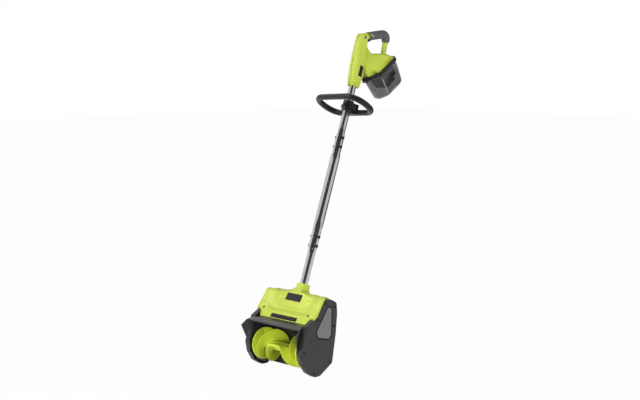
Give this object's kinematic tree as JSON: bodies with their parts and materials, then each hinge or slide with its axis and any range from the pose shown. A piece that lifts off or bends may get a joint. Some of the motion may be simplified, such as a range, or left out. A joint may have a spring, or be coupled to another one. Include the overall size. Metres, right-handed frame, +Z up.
{
  "type": "cordless snow shovel",
  "caption": "Battery snow shovel: a powered ribbon auger in a hooded head on a bolted tube shaft, with a loop handle and a rear trigger handle over a battery bay.",
  "frame": {"origin": "middle of the rear grip, where a hand holds the tool", "axes": "+X to the right along the auger, -Y towards the front of the head, +Z up"},
  "size_m": [0.28, 0.6125, 1.1428],
  "materials": {
    "lime_plastic": "satin moulded",
    "dark_grey_plastic": "fine textured",
    "insert_grey_plastic": "fine textured",
    "black_plastic": "satin moulded",
    "grip_rubber": "soft matte",
    "smoky_cover": "clear smoky",
    "aluminium_tube": "drawn, satin",
    "steel": "plated"
  },
  "bodies": {
    "frame": {"side_plate_left": "dark_grey_plastic", "side_plate_right": "dark_grey_plastic", "side_insert_left": "insert_grey_plastic", "side_insert_right": "insert_grey_plastic", "intake_shroud": "black_plastic", "auger_bearing_left": "steel", "auger_bearing_right": "steel", "scraper_bar": "steel", "upper_cover": "lime_plastic", "motor": "steel", "motor_cradle": "black_plastic", "drive_belt": "grip_rubber", "lower_tube": "aluminium_tube", "middle_tube": "aluminium_tube", "upper_tube": "aluminium_tube", "joint_bolt_1": "black_plastic", "joint_bolt_2": "black_plastic", "joint_bolt_3": "black_plastic", "joint_bolt_4": "black_plastic", "power_lead": "black_plastic", "handle_shell_right": "lime_plastic", "handle_shell_left": "lime_plastic", "grip_overmould": "grip_rubber", "switch_block": "black_plastic", "terminal_block": "black_plastic", "trigger_pin": "steel", "battery_bay_rim": "dark_grey_plastic", "battery_pack": "black_plastic", "cover_hinge_pin": "steel"},
    "auger": {"auger": "lime_plastic", "auger_shaft": "steel", "auger_pulley": "black_plastic"},
    "motor_rotor": {"motor_pulley": "steel"},
    "loop_handle": {"loop_handle": "black_plastic", "loop_clamp_front": "black_plastic", "clamp_bolt_left": "steel", "clamp_bolt_right": "steel"},
    "trigger": {"trigger": "black_plastic"},
    "lock_off_button": {"lock_off_button": "insert_grey_plastic"},
    "battery_cover": {"battery_cover": "smoky_cover"},
    "cover_latch": {"cover_latch": "dark_grey_plastic"}
  },
  "joints": [
    {"name": "auger_spin", "type": "hinge", "parent": "frame", "child": "auger", "pos_m": [0, -0.42517, -1.04676], "axis": [1, 0, 0], "continuous": true},
    {"name": "motor_spin", "type": "hinge", "parent": "frame", "child": "motor_rotor", "pos_m": [0, -0.37017, -0.92176], "axis": [1, 0, 0], "continuous": true},
    {"name": "loop_handle_slide", "type": "slide", "parent": "frame", "child": "loop_handle", "axis": [0, 0.3305, 0.9438], "range_m": [-0.06, 0.015]},
    {"name": "trigger_pull", "type": "hinge", "parent": "frame", "child": "trigger", "pos_m": [0, -0.03537, -0.00721], "axis": [1, 0, 0], "range_deg": [0, 10], "stiffness_Nm_per_rad": 0.6, "springref_deg": -8.59},
    {"name": "lock_off_press", "type": "slide", "parent": "frame", "child": "lock_off_button", "axis": [-1, 0, 0], "range_m": [0, 0.003], "stiffness_N_per_m": 600, "springref_m": -0.002},
    {"name": "battery_cover_open", "type": "hinge", "parent": "frame", "child": "battery_cover", "pos_m": [0, -0.04411, -0.16212], "axis": [-1, 0, 0], "range_deg": [0, 70]},
    {"name": "cover_latch_press", "type": "hinge", "parent": "battery_cover", "child": "cover_latch", "pos_m": [0, 0.0801, -0.08649], "axis": [-1, 0, 0], "range_deg": [0, 10], "stiffness_Nm_per_rad": 0.25, "springref_deg": -11.46}
  ],
  "couplings": [
    {"joint": "motor_spin", "follows": "auger_spin", "ratio": 2.8889}
  ]
}
